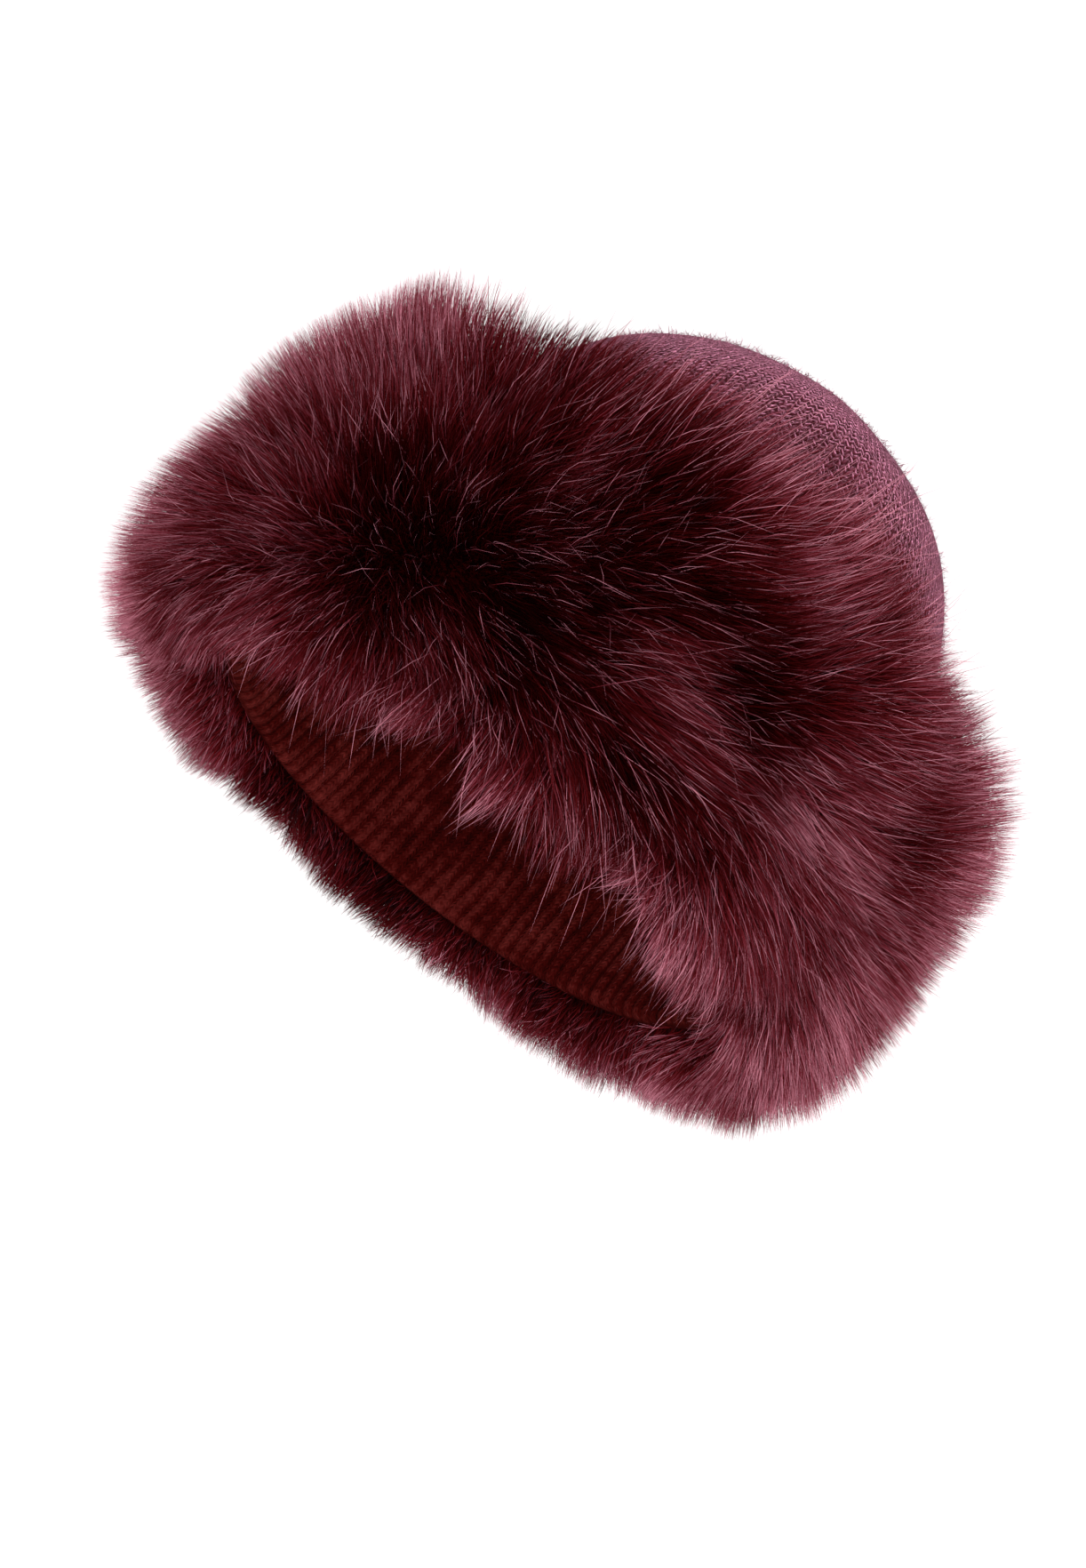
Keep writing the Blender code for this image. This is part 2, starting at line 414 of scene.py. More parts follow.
# %% [markdown]
# ## The ribbed band
#
# Ribs this deep do show in outline, so they are real geometry: the band's inner side goes in and out
# around the opening. Its lower edge is folded, so its profile is rounded there.

# %% Shape of the band
BAND_INSET = 0.0020
BAND_HEIGHT = 0.0700
BAND_WALL = 0.0018
RIB_RELIEF = 0.0012
RIB_COUNT = 120
POINTS_PER_RIB = 6
BAND_ROWS = 36
FOLD_TOP = 0.0026
FOLD_SHOULDER = 0.0026
FOLD_MIDDLE_HEIGHT = 0.0012
FOLD_STRETCH = 1.25
FOLD_POINTS = 10
BAND_SLACK = 0.0006
FLAT_RIB = 0.55

band_around = RIB_COUNT * POINTS_PER_RIB
band_top = BAND_INSET + BAND_HEIGHT
fold_out = KNIT_WALL + FIT_GAP
fold_radius = 0.5 * (fold_out + BAND_WALL)
fold_middle = fold_out - fold_radius

# The profile goes down behind the band, round its fold and up its inner side.
# Each row has how far out it is, its height, and its share of the ribs' relief.
profile = [(0.0, height, 0.0) for height in (band_top, 0.4 * BAND_HEIGHT, FOLD_TOP)]
profile += [(FOLD_SHOULDER, FOLD_TOP, 0.0), (fold_out, FOLD_TOP, 0.0)]
profile += [
    (
        fold_middle + fold_radius * math.cos(angle),
        FOLD_MIDDLE_HEIGHT - FOLD_STRETCH * fold_radius * math.sin(angle),
        0.5 * (1.0 - math.cos(angle)),
    )
    for angle in np.linspace(0.0, np.pi, FOLD_POINTS)
]
profile += [(-BAND_WALL, height, 1.0) for height in np.linspace(fold_radius, band_top, BAND_ROWS)[1:]]
profile = np.array(profile)

turns = np.arange(band_around) / band_around
turn, offset = np.meshgrid(turns, profile[:, 0])
level = np.meshgrid(turns, profile[:, 1])[1]
relief = np.meshgrid(turns, profile[:, 2])[1]
drift = 0.10 * soft_waves(8, 10, 12, 3.0, turn, level / BAND_HEIGHT)
rib = np.abs(np.sin(np.pi * (RIB_COUNT * turn + drift))) ** 0.6
depth_in = offset - relief * RIB_RELIEF * rib
slack = -BAND_SLACK * relief * (1.0 + soft_waves(9, 10, 8, 3.0, turn, level / BAND_HEIGHT))
band_skin = knit_surface(turn, level / CROWN_SIDE_HEIGHT, -KNIT_WALL - FIT_GAP + depth_in + slack)

closing = closing_faces(len(profile), band_around)
steps = np.linalg.norm(np.diff(profile[:, :2], axis=0), axis=1)
band_length = np.concatenate([[0.0], np.cumsum(steps)])
rib_height = rib * relief + FLAT_RIB * (1.0 - relief)
band = mesh_from_arrays(
    "band_ribs",
    lay_down(band_skin.reshape(-1, 3)),
    [np.concatenate([grid_faces(len(profile), band_around), closing])],
    "stitches",
    np.concatenate([cloth_uv(band_around, band_length), np.zeros((closing.size, 2))]),
    [("rib", rib_height.reshape(-1)), ("inside_shade_depth", (level / BAND_HEIGHT).reshape(-1))],
)
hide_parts("ribbed_band")
report(band)

# %% Finish of the band
RIB_STITCH_HEIGHT = 0.0016

ribs = Finish("ribbed_knit", roughness=0.95, Specular_IOR_Level=0.02)
rib_stitch = stitches(ribs, 2 * RIB_COUNT, RIB_STITCH_HEIGHT, unevenness=0.5)
crest = ribs.stored("rib")
rib_haze = ribs.noise(500.0, 3.0)
rib_patches = ribs.noise(60.0, 3.0)
# Painted shade: the colour is darker in the creases between the ribs and between the stitches, and darker
# deeper inside the hat. The haze and the patches are the yarn's own uneven colour.
rib_tone = crest * 0.34 + rib_stitch * 0.14 + (rib_haze - 0.5) * 0.7 + (rib_patches - 0.5) * 0.8 + 0.32
rib_tone = (rib_tone - ribs.stored("inside_shade_depth") * 0.30).held()
ribs.colour(
    ribs.ramp(
        rib_tone,
        [
            (0.10, (0.007, 0.0003, 0.0002)),
            (0.55, (0.042, 0.0018, 0.0014)),
            (0.95, (0.12, 0.014, 0.012)),
        ],
    )
)
ribs.relief(rib_stitch * 0.7 + rib_haze * 0.5, 0.0006)
band.data.materials.append(ribs.material)

# %% [markdown]
# ## How the fur grows
#
# The cuff is a strip of artificial fur as high as a hand is wide. Its hairs fan out: they point down at
# its lower edge, straight out in the middle and up over the crown at its upper edge. A short table
# holds that fan, and a hair that is rooted between two of its rows takes the values between them.

# %% Direction and length of the fur
CUFF_HEIGHT = 0.0900
CUFF_EDGE = 0.0010
BACKING_WALL = 0.0020
PILE_LENGTH = 0.0470
FRINGE_SHARE = 0.30
FRINGE_DROOP = 0.18
BRUSHED_SHARE = 0.84
BRUSHED_GAIN = 0.10
UPWARDS = np.array([0.0, 0.0, 1.0])

FUR_SECTIONS = np.array(
    [
        # height, rise, length
        (0.00, -74.0, 0.48),
        (0.06, -52.0, 0.67),
        (0.16, -30.0, 0.95),
        (0.32, -12.0, 1.02),
        (0.50, -2.0, 1.00),
        (0.68, 7.0, 1.00),
        (0.84, 24.0, 0.95),
        (0.95, 47.0, 0.83),
        (1.00, 72.0, 0.78),
    ]
)


def fur_rise(share):
    """How far a hair points up from the level, in radians."""
    return np.radians(np.interp(share, FUR_SECTIONS[:, 0], FUR_SECTIONS[:, 1]))


def fur_length(turn, share):
    """The fringe is longer on the upper side, and the fur along the crown is longest on the left."""
    droop = FRINGE_DROOP * np.maximum(0.0, 1.0 - share / FRINGE_SHARE) * np.sin(2.0 * np.pi * turn)
    brushed = np.maximum(0.0, share - BRUSHED_SHARE) / (1.0 - BRUSHED_SHARE)
    gain = BRUSHED_GAIN * brushed * (1.0 - np.cos(2.0 * np.pi * turn))
    section = np.interp(share, FUR_SECTIONS[:, 0], FUR_SECTIONS[:, 2])
    return PILE_LENGTH * section * (1.0 - droop) * (1.0 + gain)


def outwards(turn):
    """The level direction straight out from the oval of the opening."""
    angle = 2.0 * np.pi * turn
    x = np.cos(angle) * OPENING_HALF_DEPTH
    y = np.sin(angle) * OPENING_HALF_WIDTH
    return unit(np.stack([x, y, np.zeros_like(turn)], axis=-1))


def fur_direction(turn, rise):
    return outwards(turn) * np.cos(rise)[..., None] + UPWARDS * np.sin(rise)[..., None]


def cuff_climb(share):
    """The knit's climb at this share of the cuff's height."""
    return (CUFF_EDGE + (CUFF_HEIGHT - CUFF_EDGE) * share) / CROWN_SIDE_HEIGHT


def fur_root(turn, share):
    return knit_surface(turn, cuff_climb(share), FIT_GAP + BACKING_WALL)


def fur_tip(turn, share):
    direction = fur_direction(turn, fur_rise(share))
    tip = fur_root(turn, share) + direction * fur_length(turn, share)[..., None]
    tip[..., 0] -= CROWN_LEAN * np.clip(CUFF_HEIGHT * share / CROWN_SIDE_HEIGHT, 0.0, 1.0)
    return tip


# %% [markdown]
# ## Where the fur meets the floor
#
# The hat's weight presses the fur under it flat. A hair that would go below the floor is bent along it
# instead: its height follows a curve that never reaches the floor, and what it loses in height it gains
# sideways, away from the middle of the patch.

# %% Press points against the floor
PRESS_SOFTNESS = 0.0045
PRESS_SPREAD = 0.45
PRESS_CORE = 0.02


def press_down(points, clearance):
    """Lifts points of the lying hat that are under the floor, and spreads them outwards."""
    over = (points[..., 2] - clearance) / PRESS_SOFTNESS
    lifted = clearance + PRESS_SOFTNESS * np.logaddexp(0.0, over)
    gain = (lifted - points[..., 2])[..., None]
    away = points * np.array([1.0, 1.0, 0.0])
    distance = np.maximum(np.linalg.norm(away, axis=-1, keepdims=True), PRESS_CORE)
    pressed = points + PRESS_SPREAD * gain * away / distance
    pressed[..., 2] = lifted
    return pressed


# %% [markdown]
# ## The fur's under layer
#
# Between the hairs one looks down into the pile, which is dark with shade. A solid body, painted very
# dark as that shade, thinner than the pile and thinnest at the edges of the cuff, stops the eye there, so
# far fewer hairs are needed to cover the backing. Its painted shade is lighter towards the cuff's lower
# edge and on its back.

# %% Body under the hairs
UNDER_AROUND = 180
UNDER_ROWS = 26
BACK_ROWS = 6
UNDER_REACH = 0.46
UNDER_CLEARANCE = 0.002
UNDER_EDGE_SHARE = 0.10


def under_grid(shares):
    return np.meshgrid(np.arange(UNDER_AROUND) / UNDER_AROUND, shares)


under_shares = np.linspace(0.0, 1.0, UNDER_ROWS)
turn, share = under_grid(under_shares)
bumps = 1.0 + 0.10 * soft_waves(21, 26, 40, 9.0, turn, share)
reach = UNDER_REACH * bumps * np.interp(share, [0.0, 0.14, 0.88, 1.0], [0.16, 1.0, 1.0, 0.20])
under_outer = fur_root(turn, share) + (fur_tip(turn, share) - fur_root(turn, share)) * reach[..., None]
turn, share = under_grid(np.linspace(1.0, 0.0, BACK_ROWS))
under_back = knit_surface(turn, cuff_climb(share), FIT_GAP)
under_points = np.concatenate([under_outer.reshape(-1, 3), under_back.reshape(-1, 3)])

rows = UNDER_ROWS + BACK_ROWS
lightened = np.clip(1.0 - under_shares / UNDER_EDGE_SHARE, 0.0, 1.0)
under_edge = np.concatenate([np.repeat(lightened, UNDER_AROUND), np.ones(BACK_ROWS * UNDER_AROUND)])
fur_body = mesh_from_arrays(
    "fur_under_layer",
    press_down(lay_down(under_points), UNDER_CLEARANCE),
    [np.concatenate([grid_faces(rows, UNDER_AROUND), closing_faces(rows, UNDER_AROUND)])],
    values=[("edge", under_edge)],
)
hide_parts("fur_cuff")
report(fur_body)

# Painted shade: this body is near black, and lighter where its stored edge value is high.
pile_shade = Finish("pile_shade", roughness=1.0, Specular_IOR_Level=0.0)
strands = pile_shade.noise(900.0, 2.0)
pile_shade_tone = strands * 0.7 + pile_shade.stored("edge") * 0.45
pile_shade.colour(
    pile_shade.ramp(
        pile_shade_tone,
        [
            (0.25, (0.006, 0.0003, 0.0003)),
            (0.55, (0.030, 0.0012, 0.0013)),
            (1.0, (0.075, 0.005, 0.006)),
        ],
    )
)
pile_shade.relief(strands, 0.002)
fur_body.data.materials.append(pile_shade.material)

# %% [markdown]
# ## One hair
#
# A hair is a flat ribbon, a fraction of a millimetre wide and tapered to a point. From any side that
# looks like a round hair, and it takes 3, 5 or 7 triangles. Each hair is a curve of three points: its
# root, a point that it heads for at first, and its tip. Its place in the texture is a cell of its own,
# so every hair can keep its own tint when the finish is baked.

# %% Many ribbons as one mesh
CELL_MARGIN_ACROSS = 0.1
CELL_MARGIN_ALONG = 0.04


def make_hairs(name, root, heading, tip, facing, width, tint, clearance=None, *, taper):
    """The arguments from root to clearance have one row for each hair.

    facing is a direction that the flat of the ribbon looks at, and taper is the share of the width at
    each step. Hairs without a clearance aren't pressed against the floor.
    """
    count, pieces = len(root), len(taper)
    steps = np.linspace(0.0, 1.0, pieces + 1)[None, :, None]
    line = (1.0 - steps) ** 2 * root[:, None] + 2.0 * steps * (1.0 - steps) * heading[:, None]
    line = lay_down(line + steps**2 * tip[:, None])
    if clearance is not None:
        line = press_down(line, clearance[:, None])

    # Two points at each step and one at the tip
    side = unit(np.cross(np.gradient(line, axis=1), turn_down(facing)[:, None]))[:, :-1]
    half = 0.5 * width[:, None, None] * np.array(taper)[None, :, None]
    pairs = np.stack([line[:, :-1] + side * half, line[:, :-1] - side * half], axis=2)
    points = np.concatenate([pairs.reshape(count, 2 * pieces, 3), line[:, -1:]], axis=1)

    # Quads between the steps, and a triangle at the tip
    per_hair = 2 * pieces + 1
    first = (np.arange(count) * per_hair)[:, None]
    quad = np.array([0, 1, 3, 2])
    quads = np.stack([first + 2 * step + quad for step in range(pieces - 1)], axis=1).reshape(-1, 4)
    ends = first + 2 * (pieces - 1) + np.arange(3)

    # A cell of the texture for each hair
    cells = math.ceil(math.sqrt(count))
    corner = np.stack([np.arange(count) % cells, np.arange(count) // cells], axis=-1)[:, None] / cells
    heights = np.linspace(CELL_MARGIN_ALONG, 1.0 - CELL_MARGIN_ALONG, pieces + 1)
    in_cell = [[x, y] for y in heights[:-1] for x in (CELL_MARGIN_ACROSS, 1.0 - CELL_MARGIN_ACROSS)]
    in_cell = np.array(in_cell + [[0.5, heights[-1]]])
    uv_of_point = (corner + in_cell[None] / cells).reshape(-1, 2)
    uv = uv_of_point[np.concatenate([quads.reshape(-1), ends.reshape(-1)])]

    # How far along its hair a point is, and how level the hair lies
    along = np.tile(np.append(np.repeat(steps[0, :-1, 0], 2), 1.0), count)
    level = 1.0 - np.abs(unit(line[:, -1] - line[:, 0])[:, 2])
    values = [
        ("along", along),
        ("tint", np.repeat(tint, per_hair)),
        ("level", np.repeat(level, per_hair)),
    ]
    return mesh_from_arrays(name, points.reshape(-1, 3), [quads, ends], "OFBake", uv, values)


# %% [markdown]
# ## Locks of fur
#
# Long fur never stands as single hairs. Hairs gather into thin locks, and a few thin locks lean
# together into a broad one. So the tips are placed from the top down: broad locks first, then thin
# locks that are pulled towards their broad one. The thin locks stand closer at the lower edge of the
# cuff, where the fringe hangs over the opening. Turns count from the right of the hat, by the floor
# side and the left, to the upper side at three quarters.

# %% Place the locks
FUR_SWEEP = math.radians(30.0)
BROAD_AROUND, BROAD_UP = 60, 6
THIN_AROUND, THIN_UP = 230, 26
LENGTH_ROUND = 0.62
draw = np.random.default_rng(17)

HOLLOWS_PAINTED_DARK = (
    # Where the pile on the upper side is a little shorter and painted darker, as painted shade: place
    # across and up the hat, half sizes, and depth
    (-0.052, 0.024, 0.060, 0.032, 1.0),
    (-0.010, 0.024, 0.034, 0.028, 1.0),
    (-0.015, 0.096, 0.016, 0.016, 1.0),
    (0.006, 0.081, 0.014, 0.016, 1.1),
    (0.023, 0.065, 0.015, 0.018, 1.4),
    (0.039, 0.048, 0.016, 0.018, 1.5),
    (0.051, 0.033, 0.015, 0.014, 1.0),
    (0.036, -0.002, 0.024, 0.010, 1.1),
    (0.002, 0.004, 0.018, 0.010, 0.8),
)
HIGHLIGHTS_PAINTED = (
    # Where the pile beside the hollows is painted lighter, a painted highlight, in the same terms
    (0.022, 0.028, 0.012, 0.016, 0.6),
    (0.043, 0.080, 0.018, 0.014, 0.5),
    (0.068, 0.026, 0.014, 0.013, 0.6),
    (-0.030, 0.075, 0.016, 0.014, 0.3),
)
FRINGE_LOBES = (
    # Where the fringe hangs further over the opening: across the hat, half width, and how much longer
    (-0.028, 0.008, 0.70),
    (0.000, 0.009, 1.05),
    (0.054, 0.013, 0.75),
    (-0.078, 0.012, 0.30),
)
LOBE_SWING = 0.020
SIDE_LIFT = 0.008
BROAD_SWAY = 0.0060
BROAD_LIFT = 0.0050
THIN_SWAY = 0.0022
BROAD_SCATTER = 0.0022
THIN_SCATTER = 0.0008


def marked(turn, share, patches):
    """From 0 outside these patches of the upper side to their depth in the middle.

    The patches are where the fur is seen, so they are measured at three quarters of its length. A wave
    frays their edges.
    """
    tip = fur_root(turn, share) + (swept_tip(turn, share) - fur_root(turn, share)) * 0.75
    upper = np.clip(-np.sin(2.0 * np.pi * turn) * 2.0, 0.0, 1.0)
    fray = 1.0 + 0.35 * soft_waves(35, 12, 30, 7.0, turn, share)
    depth = np.zeros_like(turn)
    for across, up, half_across, half_up, deepest in patches:
        far = ((tip[:, 0] - across) / half_across) ** 2 + ((tip[:, 2] - up) / half_up) ** 2
        depth = np.maximum(depth, deepest * np.exp(-0.8 * (far * fray) ** 1.5))
    return depth * upper


def lobe_length(turn):
    """How much longer the fringe is here, as a share."""
    across = OPENING_HALF_WIDTH * np.cos(2.0 * np.pi * turn)
    lobes = [longer * np.exp(-(((across - middle) / half) ** 2)) for middle, half, longer in FRINGE_LOBES]
    return sum(lobes)


def scattered(around, up):
    """Centres of locks on a grid, moved a little at random, and closer together at the lower edge."""
    column, row = np.meshgrid(np.arange(around), np.arange(up))
    turn = (column + 0.5 * (row % 2) + draw.uniform(-0.45, 0.45, column.shape)) / around
    share = (row + 0.5 + draw.uniform(-0.5, 0.5, row.shape)) / up
    return turn.reshape(-1) % 1.0, np.clip(share.reshape(-1), 0.0, 1.0) ** 1.25


def sideways(turn):
    """Unit direction round the opening."""
    return np.cross(UPWARDS, outwards(turn))


def swept_tip(turn, share):
    """The tip of the fur as it is combed round the cuff, which is done on the upper side alone."""
    root = fur_root(turn, share)
    tip = fur_tip(turn, share)
    upper = np.clip(-np.sin(2.0 * np.pi * turn), 0.0, 1.0)
    right = np.clip(np.cos(2.0 * np.pi * turn), 0.0, 1.0)
    combing = np.interp(share, [0.0, 0.12, 1.0], [0.25, 1.0, 0.75])
    sweep = FUR_SWEEP * upper * (1.0 - 0.9 * right) * combing
    swing = np.linalg.norm(tip - root, axis=1) * np.sin(sweep)
    return root + (tip - root) * np.cos(sweep)[:, None] + sideways(turn) * swing[:, None]


def swayed_tip(turn, share):
    """The same tip, moved by slow waves, as a hand leaves it."""
    tip = swept_tip(turn, share)
    sway = BROAD_SWAY * soft_waves(31, 14, 12, 1.6, turn, share)
    sway += THIN_SWAY * soft_waves(32, 20, 34, 4.0, turn, share)
    lift = BROAD_LIFT * soft_waves(33, 14, 11, 1.6, turn, share)
    lift += THIN_SWAY * soft_waves(34, 20, 34, 4.0, turn, share)
    return tip + sideways(turn) * sway[:, None] + UPWARDS * lift[:, None]


broad_turn, broad_share = scattered(BROAD_AROUND, BROAD_UP)
broad_tip = swayed_tip(broad_turn, broad_share) + draw.normal(0.0, BROAD_SCATTER, (len(broad_turn), 3))
broad_tint = draw.uniform(0.0, 1.0, len(broad_turn))
thin_turn, thin_share = scattered(THIN_AROUND, THIN_UP)

turn_gap = (thin_turn[:, None] - broad_turn[None] + 0.5) % 1.0 - 0.5
height_gap = (thin_share[:, None] - broad_share[None]) * (CUFF_HEIGHT / LENGTH_ROUND)
nearest = np.argmin(turn_gap**2 + height_gap**2, axis=1)
thin_root = fur_root(thin_turn, thin_share)
thin_tip = swayed_tip(thin_turn, thin_share)
thin_tip += (broad_tip[nearest] - thin_tip) * draw.uniform(0.12, 0.42, len(thin_turn))[:, None]

# Where each lock stands: to_the_side goes from -1 on the left to 1 on the right, the others from 0 to 1
to_the_side = np.cos(2.0 * np.pi * thin_turn)
right, left = np.clip(to_the_side, 0.0, 1.0), np.clip(-to_the_side, 0.0, 1.0)
upper_side = np.clip(-np.sin(2.0 * np.pi * thin_turn), 0.0, 1.0)
under_side = np.clip(0.5 + np.sin(2.0 * np.pi * thin_turn), 0.0, 1.0)
edge = np.clip(1.0 - thin_share / 0.08, 0.0, 1.0)
fringe = np.clip(1.0 - thin_share / 0.13, 0.0, 1.0) * upper_side
lower_edge = np.clip(1.0 - thin_share / 0.16, 0.0, 1.0)
near_crown = np.clip(1.0 - np.abs(thin_share - 0.80) / 0.20, 0.0, 1.0)
at_crown = np.clip((thin_share - 0.84) / 0.16, 0.0, 1.0)
hollow_painted_dark = marked(thin_turn, thin_share, HOLLOWS_PAINTED_DARK)
highlight_painted = marked(thin_turn, thin_share, HIGHLIGHTS_PAINTED)
lobes = lobe_length(thin_turn)

# Lengths: the sides stand out below the crown and are short beside it, and the fringe hangs in lobes
thin_length = draw.uniform(0.92, 1.06, len(thin_turn)) * (1.0 - 0.10 * hollow_painted_dark)
thin_length *= 1.0 + (0.02 * right**2 + 0.07 * left**2) * (1.0 - at_crown) - 0.50 * right * at_crown
thin_length *= 1.0 + 0.18 * to_the_side**4 * near_crown - 0.20 * upper_side * left * near_crown
thin_length *= 1.0 - 0.34 * np.sqrt(upper_side) * left * at_crown
longer_under = np.interp(to_the_side, [0.25, 0.5, 0.7, 1.0], [0.12, 0.02, 0.32, 0.50])
thin_length += lower_edge * under_side * longer_under
thin_length += 0.20 * lower_edge * left**2
thin_length += fringe * (lobes + draw.uniform(-0.1, 0.30, len(broad_turn))[nearest])

# Tips: the lobes swing to the left, and the left side is lifted towards the crown
thin_tip = thin_root + (thin_tip - thin_root) * thin_length[:, None]
thin_tip += draw.normal(0.0, THIN_SCATTER, thin_tip.shape)
thin_tip[:, 0] -= LOBE_SWING * fringe * lobes
thin_tip[:, 2] += SIDE_LIFT * (left**2 * (near_crown - 0.6 * lower_edge) - right**2 * at_crown)

# Tints: each lock and hair has its own random tone. Light and shade are painted in on top: lighter where
# the fur lies level, at the sides or on a painted highlight, and painted shade in a hollow, beneath by
# the floor, between the lobes of the fringe and where the fur stands up towards the view
bands = soft_waves(41, 12, 16, 2.5, thin_turn, thin_share)
standing = np.clip(unit(turn_down(thin_tip - thin_root))[:, 2], 0.0, 1.0)
own_tint = draw.uniform(0.0, 1.0, len(thin_turn))
thin_tint_and_painted_light = 0.30 * broad_tint[nearest] + 0.50 * own_tint + 0.20 * bands + 0.26
thin_tint_and_painted_light += fringe * (0.80 * lobes - 0.42) + 0.05 * edge + 0.75 * (highlight_painted - hollow_painted_dark) - 0.36 * standing**2
# Painted shade beneath: the fur on the floor side by the cuff's lower edge is darker
shade_under_painted = np.interp(to_the_side, [-0.9, -0.6, 0.0, 0.9], [-0.3, 1.0, 1.0, 0.1])
thin_tint_and_painted_light -= 0.42 * under_side * lower_edge * shade_under_painted
# Painted light on the sides: lighter on the left away from the edges, and beside the crown on the upper
# side lighter to the right and painted darker to the left
thin_tint_and_painted_light += 0.02 * right**2 + 0.30 * left**2 * (1.0 - 1.4 * lower_edge) * (1.0 - at_crown)
thin_tint_and_painted_light += upper_side * near_crown * (0.45 * right - 0.60 * left)

# %% [markdown]
# ## Hairs of four kinds
#
# Such fur is a blend. Most of it is dark, dense and a little shorter. Guard hairs are longer, finer and
# lighter, and their lightness is partly painted highlight. They stay more on their own and draw the
# bright lines. Short hairs cover the fold at the opening, and a few loose, light ones stray over all the
# rest, also partly painted highlight. A hair leaves the cloth straight and only then bends to where its
# lock goes. The flat of each ribbon is turned by a random angle, so some catch the light.

# %% Grow the hairs
EDGE_SHARE = 0.05
EDGE_INSET = 0.0040
LONGEST_REACH = 1.20
ROOTS_ROUND = 0.59
SPREAD_ROUND = 1.6
LOCK_PULL = 0.75
STRAY_PULL = 0.10
STRAY_WILDNESS = 3.0
HEADING_REACH = 0.54
LOWEST_CLEARANCE, HIGHEST_CLEARANCE = 0.0004, 0.0030


def grow(lock, spread, gather, lengths, stray_share, wildness, widths, tints, over_crown=0.0):
    """Hairs for these locks: the turn of each root, and what make_hairs takes for each hair.

    spread, wildness and widths are in metres. gather is how closely the hairs keep to the lock's tip, and
    lengths are shares of its length. tints are the middle tint, the hair's own part and the lock's part.
    """
    count = len(lock)
    stray = draw.random(count) < stray_share

    # Roots around the lock's own, moved in under the fold at the cuff's lower edge
    turn = thin_turn[lock] + draw.normal(0.0, spread * SPREAD_ROUND, count) / ROOTS_ROUND
    share = np.clip(thin_share[lock] + draw.normal(0.0, spread, count) / CUFF_HEIGHT, 0.0, 1.0)
    at_edge = np.clip(1.0 - share / EDGE_SHARE, 0.0, 1.0)
    inset = outwards(turn) * (EDGE_INSET * draw.random(count) * np.sqrt(at_edge))[:, None]
    root = fur_root(turn, share) - inset

    # Tips between the lock's tip and where the combing alone would bring them
    gathered = np.minimum(0.95, draw.uniform(*gather, count) + 0.35 * fringe[lock])
    pull = np.where(stray, STRAY_PULL, gathered)
    tip = thin_tip[lock] + (root - thin_root[lock]) * (1.0 - pull)[:, None]
    combed = swept_tip(turn, share) - root
    tip = root + (tip - root) * LOCK_PULL + combed * (1.0 - LOCK_PULL)
    tip += draw.normal(0.0, 1.0, (count, 3)) * (wildness * np.where(stray, STRAY_WILDNESS, 1.0))[:, None]
    longer = over_crown * lies_on_crown[lock]
    tip = root + (tip - root) * (draw.uniform(*lengths, count) * (1.0 + longer))[:, None] - 1.5 * inset
    reach = np.linalg.norm(tip - root, axis=1)
    longest = fur_length(turn, share) * (LONGEST_REACH + fringe[lock] + longer)
    too_long = np.minimum(1.0, longest / reach)
    tip = root + (tip - root) * too_long[:, None]
    reach = reach * too_long

    # The way it leaves the cloth, and the way that its flat looks
    leaving = 0.40 * outwards(turn) + 0.60 * fur_direction(turn, fur_rise(share))
    leaving = unit(leaving + draw.normal(0.0, 0.07, (count, 3)))
    heading = root + leaving * (HEADING_REACH * reach)[:, None]
    aim = unit(tip - root)
    across = unit(np.cross(aim, sideways(turn)))
    spin = draw.uniform(0.0, np.pi, count)
    facing = across * np.cos(spin)[:, None] + np.cross(aim, across) * np.sin(spin)[:, None]

    width = draw.uniform(*widths, count)
    middle, own_part, lock_part = tints
    tint = middle + own_part * (draw.random(count) - 0.5) + lock_part * (thin_tint_and_painted_light[lock] - 0.5)
    clearance = draw.uniform(LOWEST_CLEARANCE, HIGHEST_CLEARANCE, count)
    return turn, (root, heading, tip, facing, width, tint, clearance)


DENSE_PER_LOCK = 16
GUARD_PER_LOCK = 5
EDGE_PER_LOCK = 14
FOLD_DEPTH = 0.009
LOOSE_COUNT = 4500

every_lock = np.arange(len(thin_turn))
lies_on_crown = at_crown * np.clip(2.0 * upper_side - 1.0, 0.0, 1.0)
lies_on_crown *= np.clip(1.0 + 1.2 * to_the_side, 0.0, 1.0)
dense_turn, dense = grow(
    np.repeat(every_lock, DENSE_PER_LOCK),
    spread=0.0030,
    gather=(0.30, 0.74),
    lengths=(0.92, 1.08),
    stray_share=0.03,
    wildness=0.0007,
    widths=(0.00033, 0.00048),
    tints=(0.22, 0.44, 0.70),
)
guard_turn, guard = grow(
    np.repeat(every_lock, GUARD_PER_LOCK),
    spread=0.0034,
    gather=(0.05, 0.50),
    lengths=(0.96, 1.12),
    stray_share=0.07,
    wildness=0.0011,
    widths=(0.00024, 0.00036),
    tints=(0.56, 0.60, 0.60),
    over_crown=0.15,
)
edge_turn, edge_hairs = grow(
    np.repeat(every_lock[thin_share < 0.02], EDGE_PER_LOCK),
    spread=0.0020,
    gather=(0.0, 0.40),
    lengths=(0.35, 0.80),
    stray_share=0.30,
    wildness=0.0016,
    widths=(0.00034, 0.00050),
    tints=(0.40, 0.40, 0.50),
)
edge_heading, edge_tip = edge_hairs[1:3]
over_fold = outwards(edge_turn) * (FOLD_DEPTH * draw.random(len(edge_turn)))[:, None]
edge_heading -= 0.5 * over_fold
edge_tip -= over_fold
weight = 0.35 + upper_side + 1.5 * fringe + 2.0 * lies_on_crown
loose_turn, loose = grow(
    draw.choice(every_lock, LOOSE_COUNT, p=weight / weight.sum()),
    spread=0.0040,
    gather=(0.0, 0.30),
    lengths=(0.95, 1.20),
    stray_share=0.60,
    wildness=0.0022,
    widths=(0.00020, 0.00030),
    tints=(1.04, 0.40, 0.15),
    over_crown=0.50,
)
